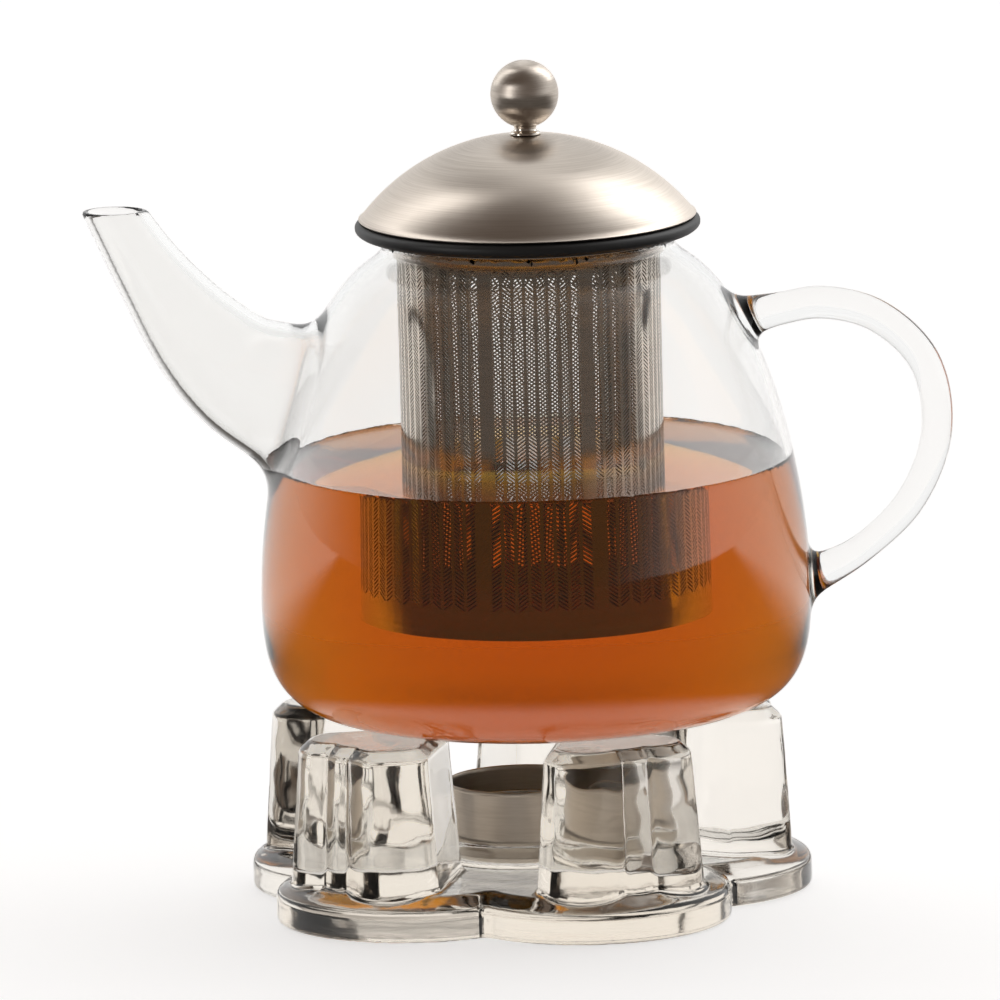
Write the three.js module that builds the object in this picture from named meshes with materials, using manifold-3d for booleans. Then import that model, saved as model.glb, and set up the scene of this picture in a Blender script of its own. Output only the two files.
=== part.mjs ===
// Glass teapot with an infuser basket and a steel lid, standing on a flower-shaped glass warmer.
// Millimetres, +Z up. The origin is the middle of the warmer's underside.
// The spout points to -X and the handle to +X.
import * as THREE from "three";
import { mergeVertices } from "three/addons/utils/BufferGeometryUtils.js";
import Module from "manifold-3d";

const wasm = await Module();
wasm.setup();

// Clearance between pieces that touch.
const GAP = 0.3;

// Candle cup, and the tealight that stands in it.
const CUP_RADIUS = 20;
const CUP_HEIGHT = 19.5;
const CUP_WALL = 0.5;
const SHELL_CLEARANCE = 0.6;
const SHELL_RADIUS = CUP_RADIUS - CUP_WALL - SHELL_CLEARANCE;
const SHELL_HEIGHT = 12;
const SHELL_WALL = 0.4;
const WAX_DEPTH = 9;
const TAB_RADIUS = 5;
const TAB_THICKNESS = 0.3;
const WICK_RADIUS = 0.8;
const WICK_LENGTH = 13;

// Warmer: a plate with five lobes, one petal-shaped pillar on each lobe, and a ring for the candle cup.
const LOBES = 5;
const LOBE_STEP = (2 * Math.PI) / LOBES;
const FIRST_LOBE_ANGLE = THREE.MathUtils.degToRad(-136);
const PLATE_RADIUS = 77.5;
const LOBE_RADIUS = 37.2;
const PLATE_EDGE_HEIGHT = 9;
const PLATE_HEIGHT = 11.3;
const PLATE_EDGE_ROUNDING = 1.5;
const SEAT_WALL = 3.6;
const SEAT_HEIGHT = 5.6;
const SEAT_RADIUS = CUP_RADIUS + GAP + SEAT_WALL;
const PILLAR_INSET = 22.9;
const PILLAR_RING_RADIUS = PLATE_RADIUS - PILLAR_INSET;
const PILLAR_HEIGHT = 38.4;
const PILLAR_WIDTH = 46.6;
const PILLAR_LOBE_RADIUS = 13;
const PILLAR_LOBE_OFFSET = 3.4;
const PILLAR_INNER_RADIUS = 8;
const PILLAR_INNER_CLEARANCE = 2.3;
const PILLAR_INNER_OFFSET = SEAT_RADIUS + PILLAR_INNER_CLEARANCE + PILLAR_INNER_RADIUS - PILLAR_RING_RADIUS;
const PILLAR_TAPER = 0.87;
const PILLAR_CHAMFER = 3;

// Pot body: a flat bottom, a round corner up to the belly, a long shoulder and a short neck.
const POT_SHIFT = 5;
const POT_HEIGHT = 127.9;
const BOTTOM_RADIUS = 44;
const BELLY_RADIUS = 73.4;
const BELLY_HEIGHT = 30.7;
const NECK_RADIUS = 39;
const NECK_LENGTH = 3.2;
const NECK_FILLET = 4.2;
const GLASS_WALL = 2;
const GLASS_FLOOR = 2.5;

// Spout: its root height on the body, then each station as [outwards, upwards, outer radius].
// The block that trims the mouth level is larger than any spout.
const SPOUT_ROOT_HEIGHT = POT_HEIGHT - 41.9;
const SPOUT_WALL = 1.8;
const SPOUT_RISE = 51.3;
const SPOUT_TRIM = 80;
const SPOUT_STATIONS = [
  [-12, -8, 19.8],
  [0, 0, 19],
  [11.5, 5.8, 16.4],
  [22.5, 16, 13.7],
  [35.5, 34, 9.8],
  [45.8, 52, 7.7],
  [49.8, 60, 7.4],
];

// Handle: root heights on the body, reach beyond the upper root, and the ear as shares of reach and drop.
const HANDLE_TOP_HEIGHT = POT_HEIGHT - 23.3;
const HANDLE_LOW_HEIGHT = 34.4;
const HANDLE_REACH = 50.7;
const HANDLE_ROD_RADIUS = 4.2;
const HANDLE_EAR = [
  [0.19, -0.028],
  [0.41, -0.048],
  [0.7, 0.009],
  [0.943, 0.186],
  [1, 0.457],
  [0.854, 0.723],
  [0.58, 0.91],
];
const HANDLE_ROOT_FLARE = 1.35;
const HANDLE_SINK = 4;

// Infuser: a collar on the glass rim, a sleeve hanging in the pot and a disc that closes the sleeve.
const COLLAR_OVERHANG = 1.4;
const COLLAR_RADIUS = NECK_RADIUS + COLLAR_OVERHANG;
const COLLAR_SHEET = 0.6;
const COLLAR_DEPTH = 4;
const SLEEVE_CLEARANCE = 2;
const SLEEVE_RADIUS = NECK_RADIUS - GLASS_WALL - SLEEVE_CLEARANCE;
const SLEEVE_SHEET = 0.5;
const SLEEVE_BOTTOM_HEIGHT = 25.9;
const SLEEVE_LENGTH = POT_HEIGHT - SLEEVE_BOTTOM_HEIGHT;
const DISC_SHEET = 0.6;
const DISC_INSET = 1;

// Lid: a dome on a plastic ring, a skirt inside the sleeve, and a ball knob on a stem.
const RING_OVERHANG = 5.6;
const RING_RADIUS = COLLAR_RADIUS + RING_OVERHANG;
const RING_HEIGHT = 3.7;
const DOME_INSET = 1.1;
const DOME_RADIUS = RING_RADIUS - DOME_INSET;
const DOME_HEIGHT = 22.2;
const DOME_SHEET = 0.8;
const SKIRT_CLEARANCE = 1.4;
const SKIRT_SHEET = 0.6;
const SKIRT_DEPTH = 8;
const SKIRT_FLANGE = 6;
const BALL_RADIUS = 9.06;
const BALL_SEAT_RADIUS = 3.4;
const STEM_RADIUS = 3;
const STEM_FOOT_RADIUS = 4;
const STEM_FOOT_HEIGHT = 0.6;
const STEM_HEIGHT = 2.1;
const SCREW_RADIUS = 2;
const SCREW_HEAD_RADIUS = 3.6;
const SCREW_HEAD_HEIGHT = 2;
const SCREW_GRIP = 4.6;
const WASHER_RADIUS = 6;
const WASHER_HEIGHT = 1;

const ROUND = 36;
const SMALL_ROUND = 20;

// ---- Materials ----

function material(color, roughness, metalness, opacity = 1) {
  return new THREE.MeshStandardMaterial({ color, roughness, metalness, opacity, transparent: opacity < 1 });
}

const POT_GLASS = material(0xeef0ee, 0.04, 0, 0.35);
const WARMER_GLASS = material(0xe6e0d8, 0.08, 0, 0.4);
const BRUSHED_STEEL = material(0xb9b1a8, 0.34, 1);
const POLISHED_STEEL = material(0xc4beb6, 0.18, 1);
const BLACK_PLASTIC = material(0x1c1c1d, 0.5, 0);
const ALUMINIUM = material(0xcfd1d3, 0.3, 1);
const WAX = material(0xf4f0e6, 0.5, 0);
const COTTON = material(0xe9e2d0, 0.9, 0);

// ---- Shape helpers ----

// A mesh with its name, shape and material, at a height in its group.
function piece(name, geometry, look, height = 0) {
  const mesh = new THREE.Mesh(geometry, look);
  mesh.name = name;
  mesh.position.z = height;
  return mesh;
}

// A round piece: an outline of [radius, height] points, anticlockwise, turned about the Z axis.
function turned(outline, segments = ROUND) {
  const points = outline.map(([radius, height]) => new THREE.Vector2(radius, height));
  const geometry = new THREE.LatheGeometry(points, segments);
  geometry.rotateX(Math.PI / 2);
  return geometry;
}

// A ring or tube with a rectangular section.
function ring(innerRadius, outerRadius, low, high, segments = ROUND) {
  const outline = [
    [innerRadius, low],
    [outerRadius, low],
    [outerRadius, high],
    [innerRadius, high],
    [innerRadius, low],
  ];
  return turned(outline, segments);
}

// A plain disc.
function disc(radius, low, high, segments = ROUND) {
  return turned([[0, low], [radius, low], [radius, high], [0, high]], segments);
}

// A round can that is open at the top.
function can(radius, height, wall, segments = ROUND) {
  const inner = radius - wall;
  return turned([[0, 0], [radius, 0], [radius, height], [inner, height], [inner, wall], [0, wall]], segments);
}

// An outline raised through levels of [height, scale].
function tapered(shape, levels, curveSegments) {
  const steps = levels.length - 1;
  const options = { depth: steps, steps, bevelEnabled: false, curveSegments };
  const geometry = new THREE.ExtrudeGeometry(shape, options);
  const position = geometry.attributes.position;
  for (let i = 0; i < position.count; i += 1) {
    const [height, scale] = levels[Math.round(position.getZ(i))];
    position.setXYZ(i, position.getX(i) * scale, position.getY(i) * scale, height);
  }
  return geometry;
}

// A turned shape of [radius, share of the path] points, bent along a path in the XZ plane.
function bent(path, outline, segments) {
  const points = outline.map(([radius, share]) => new THREE.Vector2(radius, share));
  const geometry = new THREE.LatheGeometry(points, segments);
  const position = geometry.attributes.position;
  const sideways = new THREE.Vector3(0, 1, 0);
  for (let i = 0; i < position.count; i += 1) {
    const share = THREE.MathUtils.clamp(position.getY(i), 0, 1);
    const across = new THREE.Vector3().crossVectors(path.getTangent(share), sideways);
    const point = path.getPoint(share);
    point.addScaledVector(across, position.getX(i));
    point.addScaledVector(sideways, position.getZ(i));
    position.setXYZ(i, point.x, point.y, point.z);
  }
  return geometry;
}

function toSolid(geometry) {
  const bare = geometry.clone();
  bare.deleteAttribute("normal");
  bare.deleteAttribute("uv");
  const merged = mergeVertices(bare, 1e-4);
  const index = merged.index.array;
  const corners = [];
  for (let i = 0; i < index.length; i += 3) {
    const [a, b, c] = [index[i], index[i + 1], index[i + 2]];
    if (a !== b && b !== c && c !== a) corners.push(a, b, c);
  }
  const vertProperties = new Float32Array(merged.attributes.position.array);
  const triVerts = new Uint32Array(corners);
  return new wasm.Manifold(new wasm.Mesh({ numProp: 3, vertProperties, triVerts }));
}

function toGeometry(solid) {
  const mesh = solid.getMesh();
  const geometry = new THREE.BufferGeometry();
  geometry.setAttribute("position", new THREE.BufferAttribute(mesh.vertProperties, 3));
  geometry.setIndex(new THREE.BufferAttribute(mesh.triVerts, 1));
  geometry.computeVertexNormals();
  return geometry;
}

function arcPoints(centreHeight, radius, fromAngle, toAngle, steps) {
  const points = [];
  for (let i = 0; i <= steps; i += 1) {
    const angle = THREE.MathUtils.lerp(fromAngle, toAngle, i / steps);
    points.push([radius * Math.cos(angle), centreHeight + radius * Math.sin(angle)]);
  }
  return points;
}

// ---- Warmer ----

// Five round lobes that meet in notches.
function flowerShape() {
  const centreRadius = PLATE_RADIUS - LOBE_RADIUS;
  const half = LOBE_STEP / 2;
  const reach = Math.sqrt(LOBE_RADIUS ** 2 - (centreRadius * Math.sin(half)) ** 2);
  const notchRadius = centreRadius * Math.cos(half) + reach;
  const sweep = Math.atan2(notchRadius * Math.sin(half), notchRadius * Math.cos(half) - centreRadius);
  const shape = new THREE.Shape();
  for (let i = 0; i < LOBES; i += 1) {
    const angle = FIRST_LOBE_ANGLE + i * LOBE_STEP;
    const x = centreRadius * Math.cos(angle);
    const y = centreRadius * Math.sin(angle);
    shape.absarc(x, y, LOBE_RADIUS, angle - sweep, angle + sweep);
  }
  return shape;
}

// A petal with two round outer lobes, a crease between them and one round inner end. +X points outwards.
function petalShape() {
  const side = PILLAR_WIDTH / 2 - PILLAR_LOBE_RADIUS;
  const crease = Math.atan2(side, Math.sqrt(PILLAR_LOBE_RADIUS ** 2 - side ** 2));
  const along = Math.atan2(-side, PILLAR_INNER_OFFSET - PILLAR_LOBE_OFFSET) + 2 * Math.PI;
  const distance = Math.hypot(side, PILLAR_INNER_OFFSET - PILLAR_LOBE_OFFSET);
  const tangent = along - Math.acos((PILLAR_LOBE_RADIUS - PILLAR_INNER_RADIUS) / distance);
  const shape = new THREE.Shape();
  shape.absarc(PILLAR_LOBE_OFFSET, side, PILLAR_LOBE_RADIUS, -crease, tangent);
  shape.absarc(PILLAR_INNER_OFFSET, 0, PILLAR_INNER_RADIUS, tangent, 2 * Math.PI - tangent);
  shape.absarc(PILLAR_LOBE_OFFSET, -side, PILLAR_LOBE_RADIUS, 2 * Math.PI - tangent, 2 * Math.PI + crease);
  return shape;
}

function makeWarmer() {
  const warmer = new THREE.Group();
  const insetScale = 1 - PLATE_EDGE_ROUNDING / PLATE_RADIUS;
  const topScale = 1 - (2 * PLATE_EDGE_ROUNDING) / PLATE_RADIUS;
  const plateLevels = [
    [0, insetScale],
    [PLATE_EDGE_ROUNDING, 1],
    [PLATE_EDGE_HEIGHT - PLATE_EDGE_ROUNDING, 1],
    [PLATE_EDGE_HEIGHT, insetScale],
    [PLATE_HEIGHT, topScale],
  ];
  warmer.add(piece("warmer_plate", tapered(flowerShape(), plateLevels, 9), WARMER_GLASS));
  const chamferScale = PILLAR_TAPER - (2 * PILLAR_CHAMFER) / PILLAR_WIDTH;
  const pillarLevels = [
    [0, 1],
    [PILLAR_HEIGHT - PILLAR_CHAMFER, PILLAR_TAPER],
    [PILLAR_HEIGHT, chamferScale],
  ];
  const petal = petalShape();
  for (let i = 0; i < LOBES; i += 1) {
    const angle = FIRST_LOBE_ANGLE + i * LOBE_STEP;
    const pillar = piece(`warmer_pillar_${i + 1}`, tapered(petal, pillarLevels, 8), WARMER_GLASS);
    pillar.position.set(
      PILLAR_RING_RADIUS * Math.cos(angle),
      PILLAR_RING_RADIUS * Math.sin(angle),
      PLATE_HEIGHT + GAP,
    );
    pillar.rotation.z = angle;
    warmer.add(pillar);
  }
  const seat = ring(CUP_RADIUS + GAP, SEAT_RADIUS, 0, SEAT_HEIGHT);
  warmer.add(piece("candle_seat", seat, WARMER_GLASS, PLATE_HEIGHT + GAP));
  return warmer;
}

// ---- Candle cup and tealight ----

function makeCandle() {
  const candle = new THREE.Group();
  const cupBase = PLATE_HEIGHT + GAP;
  const shellBase = cupBase + CUP_WALL + GAP;
  const tabBase = shellBase + SHELL_WALL + GAP;
  const waxBase = tabBase + TAB_THICKNESS + GAP;
  const waxRadius = SHELL_RADIUS - SHELL_WALL - GAP;
  const wax = ring(WICK_RADIUS + GAP, waxRadius, 0, WAX_DEPTH);
  candle.add(piece("candle_cup", can(CUP_RADIUS, CUP_HEIGHT, CUP_WALL), POLISHED_STEEL, cupBase));
  candle.add(piece("tealight_shell", can(SHELL_RADIUS, SHELL_HEIGHT, SHELL_WALL), ALUMINIUM, shellBase));
  candle.add(piece("wick_tab", disc(TAB_RADIUS, 0, TAB_THICKNESS, SMALL_ROUND), ALUMINIUM, tabBase));
  candle.add(piece("tealight_wax", wax, WAX, waxBase));
  candle.add(piece("wick", disc(WICK_RADIUS, 0, WICK_LENGTH, 8), COTTON, waxBase));
  return candle;
}

// ---- Pot ----

// The body's outline from its bottom to its rim, drawn inwards by the given amounts.
function bodyOutline(inset, floor, steps) {
  const belly = new THREE.Vector2(BELLY_RADIUS - inset, BELLY_HEIGHT);
  const neckRadius = NECK_RADIUS - inset;
  const neckFoot = POT_HEIGHT - NECK_LENGTH;
  const shoulder = new THREE.Vector2(neckRadius + NECK_FILLET, neckFoot - 0.8 * NECK_FILLET);
  const corner = new THREE.CubicBezierCurve(
    new THREE.Vector2(BOTTOM_RADIUS - inset, floor),
    new THREE.Vector2(THREE.MathUtils.lerp(BOTTOM_RADIUS - inset, belly.x, 0.82), floor),
    new THREE.Vector2(belly.x, THREE.MathUtils.lerp(BELLY_HEIGHT, floor, 0.68)),
    belly,
  );
  const rise = shoulder.y - BELLY_HEIGHT;
  const side = new THREE.CubicBezierCurve(
    belly,
    new THREE.Vector2(belly.x, BELLY_HEIGHT + 0.33 * rise),
    new THREE.Vector2(shoulder.x + 0.68 * (belly.x - shoulder.x), shoulder.y - 0.157 * rise),
    shoulder,
  );
  const fillet = new THREE.QuadraticBezierCurve(
    shoulder,
    new THREE.Vector2(neckRadius, neckFoot - 0.1 * NECK_FILLET),
    new THREE.Vector2(neckRadius, neckFoot + 0.3 * NECK_FILLET),
  );
  const points = [
    ...corner.getPoints(Math.round(steps * 0.4)),
    ...side.getPoints(steps).slice(1),
    ...fillet.getPoints(3).slice(1),
    new THREE.Vector2(neckRadius, POT_HEIGHT),
  ];
  return points.map((point) => [point.x, point.y]);
}

// The body's outer radius at a height.
function bodyRadiusAt(height) {
  const outline = bodyOutline(0, 0, 40);
  const above = outline.findIndex(([, z]) => z >= height);
  const [lowRadius, low] = outline[above - 1];
  const [highRadius, high] = outline[above];
  return THREE.MathUtils.mapLinear(height, low, high, lowRadius, highRadius);
}

// The body's outer shape as a filled solid, larger than the glass by the clearance.
function bodyEnvelope() {
  const outline = bodyOutline(-GAP, -GAP, 14);
  return toSolid(turned([[0, -GAP], ...outline, [0, POT_HEIGHT]]));
}

function spoutPath() {
  const root = bodyRadiusAt(SPOUT_ROOT_HEIGHT);
  const points = SPOUT_STATIONS.map(([out, up]) => new THREE.Vector3(-root - out, 0, SPOUT_ROOT_HEIGHT + up));
  return new THREE.CatmullRomCurve3(points, false, "centripetal");
}

// Radii along the spout, drawn inwards by the inset, as [radius, share of the path] points.
function spoutRadii(inset, steps) {
  const last = SPOUT_STATIONS.length - 1;
  const stations = SPOUT_STATIONS.map(([, , radius], i) => new THREE.Vector2(i / last, radius));
  const radii = new THREE.SplineCurve(stations);
  const points = [];
  for (let i = 0; i <= steps; i += 1) {
    points.push([radii.getPoint(i / steps).y - inset, i / steps]);
  }
  return points;
}

function makeSpout(path, envelope) {
  const outer = spoutRadii(0, 14);
  const inner = spoutRadii(SPOUT_WALL, 14).reverse();
  const tube = toSolid(bent(path, [...outer, ...inner, outer[0]], 24));
  const mouth = SPOUT_ROOT_HEIGHT + SPOUT_RISE;
  const above = new THREE.BoxGeometry(2 * SPOUT_TRIM, 2 * SPOUT_TRIM, SPOUT_TRIM);
  above.translate(-bodyRadiusAt(SPOUT_ROOT_HEIGHT) - SPOUT_TRIM, 0, mouth + SPOUT_TRIM / 2);
  return toGeometry(tube.subtract(toSolid(above)).subtract(envelope));
}

function makeBody(path) {
  const outer = bodyOutline(0, 0, 11);
  const inner = bodyOutline(GLASS_WALL, GLASS_FLOOR, 10).reverse();
  const shell = toSolid(turned([[0, 0], ...outer, ...inner, [0, GLASS_FLOOR]]));
  const bore = spoutRadii(SPOUT_WALL, 14).filter(([, share]) => share < 0.4);
  const start = [0, 0];
  const end = [0, bore[bore.length - 1][1]];
  const hole = toSolid(bent(path, [start, ...bore, end], 24));
  return toGeometry(shell.subtract(hole));
}

function makeHandle(envelope) {
  const top = bodyRadiusAt(HANDLE_TOP_HEIGHT);
  const low = bodyRadiusAt(HANDLE_LOW_HEIGHT);
  const drop = HANDLE_TOP_HEIGHT - HANDLE_LOW_HEIGHT;
  const points = [
    new THREE.Vector3(top - HANDLE_SINK, 0, HANDLE_TOP_HEIGHT - 1),
    new THREE.Vector3(top, 0, HANDLE_TOP_HEIGHT),
    ...HANDLE_EAR.map(([out, down]) => {
      return new THREE.Vector3(top + out * HANDLE_REACH, 0, HANDLE_TOP_HEIGHT - down * drop);
    }),
    new THREE.Vector3(low, 0, HANDLE_LOW_HEIGHT),
    new THREE.Vector3(low - HANDLE_SINK, 0, HANDLE_LOW_HEIGHT - 2),
  ];
  const path = new THREE.CatmullRomCurve3(points, false, "centripetal");
  const steps = 30;
  const outline = [[0, 0]];
  for (let i = 0; i <= steps; i += 1) {
    const share = i / steps;
    const nearRoot = Math.exp(-Math.min(share, 1 - share) / 0.06);
    outline.push([HANDLE_ROD_RADIUS * (1 + (HANDLE_ROOT_FLARE - 1) * nearRoot), share]);
  }
  outline.push([0, 1]);
  return toGeometry(toSolid(bent(path, outline, 12)).subtract(envelope));
}

function makePot() {
  const pot = new THREE.Group();
  const path = spoutPath();
  const envelope = bodyEnvelope();
  pot.add(piece("pot_body", makeBody(path), POT_GLASS));
  pot.add(piece("spout", makeSpout(path, envelope), POT_GLASS));
  pot.add(piece("handle", makeHandle(envelope), POT_GLASS));
  return pot;
}

// ---- Infuser, drawn from the glass rim at height 0 ----

function makeInfuser() {
  const infuser = new THREE.Group();
  const flangeTop = GAP + COLLAR_SHEET;
  const tubeInner = SLEEVE_RADIUS + GAP;
  const tubeOuter = tubeInner + COLLAR_SHEET;
  const collar = turned([
    [tubeInner, -COLLAR_DEPTH],
    [tubeOuter, -COLLAR_DEPTH],
    [tubeOuter, GAP],
    [COLLAR_RADIUS, GAP],
    [COLLAR_RADIUS, flangeTop],
    [tubeInner, flangeTop],
    [tubeInner, -COLLAR_DEPTH],
  ]);
  const sleeveInner = SLEEVE_RADIUS - SLEEVE_SHEET;
  const sleeve = ring(sleeveInner, SLEEVE_RADIUS, -SLEEVE_LENGTH, flangeTop);
  const discLow = DISC_INSET - SLEEVE_LENGTH;
  const bottom = disc(sleeveInner - GAP, discLow, discLow + DISC_SHEET);
  infuser.add(piece("infuser_collar", collar, POLISHED_STEEL));
  infuser.add(piece("infuser_sleeve", sleeve, POLISHED_STEEL));
  infuser.add(piece("infuser_bottom", bottom, POLISHED_STEEL));
  return infuser;
}

// ---- Lid, drawn from the ring's underside at height 0 ----

function makeLid() {
  const lid = new THREE.Group();
  const skirtRadius = SLEEVE_RADIUS - SLEEVE_SHEET - SKIRT_CLEARANCE;
  const skirtInner = skirtRadius - SKIRT_SHEET;
  const ringInner = skirtRadius + GAP;
  const ringRound = RING_HEIGHT / 2;
  const edge = arcPoints(0, 1, -Math.PI / 2, Math.PI / 2, 5).map(([across, up]) => {
    return [RING_RADIUS - ringRound * 0.6 + across * ringRound * 0.6, ringRound * (1 + up)];
  });
  const ringOutline = [[ringInner, 0], ...edge, [ringInner, RING_HEIGHT], [ringInner, 0]];
  const skirtTop = RING_HEIGHT + GAP;
  const skirt = turned([
    [skirtInner, -SKIRT_DEPTH],
    [skirtRadius, -SKIRT_DEPTH],
    [skirtRadius, skirtTop],
    [skirtRadius + SKIRT_FLANGE, skirtTop],
    [skirtRadius + SKIRT_FLANGE, skirtTop + SKIRT_SHEET],
    [skirtInner, skirtTop + SKIRT_SHEET],
    [skirtInner, -SKIRT_DEPTH],
  ]);
  const domeFoot = RING_HEIGHT + GAP;
  const domeTop = domeFoot + DOME_HEIGHT;
  const sphereRadius = (DOME_RADIUS ** 2 + DOME_HEIGHT ** 2) / (2 * DOME_HEIGHT);
  const sphereCentre = domeTop - sphereRadius;
  const innerSphere = sphereRadius - DOME_SHEET;
  const hole = SCREW_RADIUS + GAP;
  const footAngle = Math.asin((domeFoot - sphereCentre) / sphereRadius);
  const innerFootAngle = Math.asin((domeFoot - sphereCentre) / innerSphere);
  const outerArc = arcPoints(sphereCentre, sphereRadius, footAngle, Math.acos(hole / sphereRadius), 9);
  const innerArc = arcPoints(sphereCentre, innerSphere, Math.acos(hole / innerSphere), innerFootAngle, 9);
  const stemFoot = domeTop + GAP;
  const stem = turned([
    [hole, 0],
    [STEM_FOOT_RADIUS, 0],
    [STEM_FOOT_RADIUS, STEM_FOOT_HEIGHT],
    [STEM_RADIUS, STEM_FOOT_HEIGHT + GAP],
    [STEM_RADIUS, STEM_HEIGHT],
    [hole, STEM_HEIGHT],
    [hole, 0],
  ], SMALL_ROUND);
  const seatAngle = -Math.acos(BALL_SEAT_RADIUS / BALL_RADIUS);
  const ballSeat = stemFoot + STEM_HEIGHT + GAP;
  const ballCentre = ballSeat - BALL_RADIUS * Math.sin(seatAngle);
  const boreTop = ballSeat + SCREW_GRIP + GAP;
  const ball = turned([
    [0, boreTop],
    [hole, boreTop],
    [hole, ballSeat],
    ...arcPoints(ballCentre, BALL_RADIUS, seatAngle, Math.PI / 2, 11).slice(0, -1),
    [0, ballCentre + BALL_RADIUS],
  ], 24);
  const washerTop = sphereCentre + Math.sqrt(innerSphere ** 2 - WASHER_RADIUS ** 2) - GAP;
  const washer = ring(hole, WASHER_RADIUS, washerTop - WASHER_HEIGHT, washerTop, SMALL_ROUND);
  const headTop = washerTop - WASHER_HEIGHT - GAP;
  const screw = turned([
    [0, headTop - SCREW_HEAD_HEIGHT],
    [SCREW_HEAD_RADIUS, headTop - SCREW_HEAD_HEIGHT],
    [SCREW_HEAD_RADIUS, headTop],
    [SCREW_RADIUS, headTop],
    [SCREW_RADIUS, ballSeat + SCREW_GRIP],
    [0, ballSeat + SCREW_GRIP],
  ], 12);
  lid.add(piece("lid_ring", turned(ringOutline), BLACK_PLASTIC));
  lid.add(piece("lid_skirt", skirt, POLISHED_STEEL));
  lid.add(piece("lid_dome", turned([...outerArc, ...innerArc, outerArc[0]]), BRUSHED_STEEL));
  lid.add(piece("knob_stem", stem, POLISHED_STEEL, stemFoot));
  lid.add(piece("lid_knob", ball, BRUSHED_STEEL));
  lid.add(piece("knob_washer", washer, POLISHED_STEEL));
  lid.add(piece("knob_screw", screw, POLISHED_STEEL));
  return lid;
}

// ---- Assembly ----

const group = new THREE.Group();
const potBase = PLATE_HEIGHT + GAP + PILLAR_HEIGHT + GAP;
const rim = potBase + POT_HEIGHT;
const pot = makePot();
const infuser = makeInfuser();
const lid = makeLid();
pot.position.set(POT_SHIFT, 0, potBase);
infuser.position.set(POT_SHIFT, 0, rim);
lid.position.set(POT_SHIFT, 0, rim + GAP + COLLAR_SHEET + GAP);
group.add(makeWarmer(), makeCandle(), pot, infuser, lid);

export default group;
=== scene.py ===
"""Looks for the glass teapot: worked glass, brushed steel, tea and a pressed-glass warmer."""

import logging
import math
from dataclasses import dataclass
from enum import Enum
from typing import Callable, Optional, Sequence

import bpy
import numpy as np
from mathutils import Matrix, Vector


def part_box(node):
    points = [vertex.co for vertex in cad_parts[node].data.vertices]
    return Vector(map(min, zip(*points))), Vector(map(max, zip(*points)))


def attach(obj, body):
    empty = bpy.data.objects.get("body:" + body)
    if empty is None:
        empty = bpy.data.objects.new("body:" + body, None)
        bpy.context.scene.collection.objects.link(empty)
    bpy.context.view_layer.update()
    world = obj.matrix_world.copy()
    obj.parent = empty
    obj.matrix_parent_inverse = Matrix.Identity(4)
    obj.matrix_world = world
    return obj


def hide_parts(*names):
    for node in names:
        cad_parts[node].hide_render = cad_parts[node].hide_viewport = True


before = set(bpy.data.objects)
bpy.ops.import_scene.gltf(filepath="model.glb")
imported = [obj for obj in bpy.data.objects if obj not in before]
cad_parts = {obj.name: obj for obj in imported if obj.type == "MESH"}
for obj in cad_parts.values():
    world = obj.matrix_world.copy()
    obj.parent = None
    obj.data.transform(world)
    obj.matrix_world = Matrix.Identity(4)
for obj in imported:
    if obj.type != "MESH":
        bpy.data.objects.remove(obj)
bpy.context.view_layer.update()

log = logging.getLogger("teapot")

Points = np.ndarray
Material, Piece = bpy.types.Material, bpy.types.Object
Field = Callable[[Points], np.ndarray]
Outline = list[tuple[float, float]]
MM = 0.001
FAR, TINY, ON_AXIS = 1e9, 1e-9, 1e-6
SHARP = math.radians(35)
GLASS_BOUNCES = 24
POT_LOW, POT_HIGH = (corner.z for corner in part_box("pot_body"))


# --- Colour and node helpers ---


def linear(hex_code: str) -> tuple[float, float, float, float]:
    """Turn an sRGB hex colour into the linear colour that shaders take.

    Args:
        hex_code: The colour as #RRGGBB.

    Returns:
        Red, green, blue and an alpha of 1.
    """
    parts = [int(hex_code[i:i + 2], 16) / 255 for i in (1, 3, 5)]
    r, g, b = (c / 12.92 if c <= 0.04045 else ((c + 0.055) / 1.055) ** 2.4 for c in parts)
    return (r, g, b, 1.0)


def add_node(tree: bpy.types.NodeTree, kind: str, inputs: Optional[dict] = None,
             **settings: object) -> bpy.types.Node:
    """Add one node with its settings, input values and links.

    Args:
        tree: The node tree that the node goes into.
        kind: The node's type name.
        inputs: Socket name or number to a value, or to the output socket that feeds it.
        settings: Attributes of the node itself.

    Returns:
        The new node.
    """
    node = tree.nodes.new(kind)
    for name, value in settings.items():
        setattr(node, name, value)
    for socket, value in (inputs or {}).items():
        if isinstance(value, bpy.types.NodeSocket):
            tree.links.new(value, node.inputs[socket])
        else:
            node.inputs[socket].default_value = value
    return node


def new_material(name: str) -> tuple[Material, bpy.types.NodeTree, bpy.types.Node,
                                     bpy.types.NodeSocket]:
    """Make a node material that has only its output and its coordinates.

    Args:
        name: The material's name.

    Returns:
        The material, its node tree, its output node and the socket of object coordinates.
    """
    material = bpy.data.materials.new(name)
    material.use_nodes = True
    tree = material.node_tree
    tree.nodes.clear()
    output = add_node(tree, "ShaderNodeOutputMaterial")
    return material, tree, output, add_node(tree, "ShaderNodeTexCoord").outputs["Object"]


# --- Finishes ---


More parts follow.
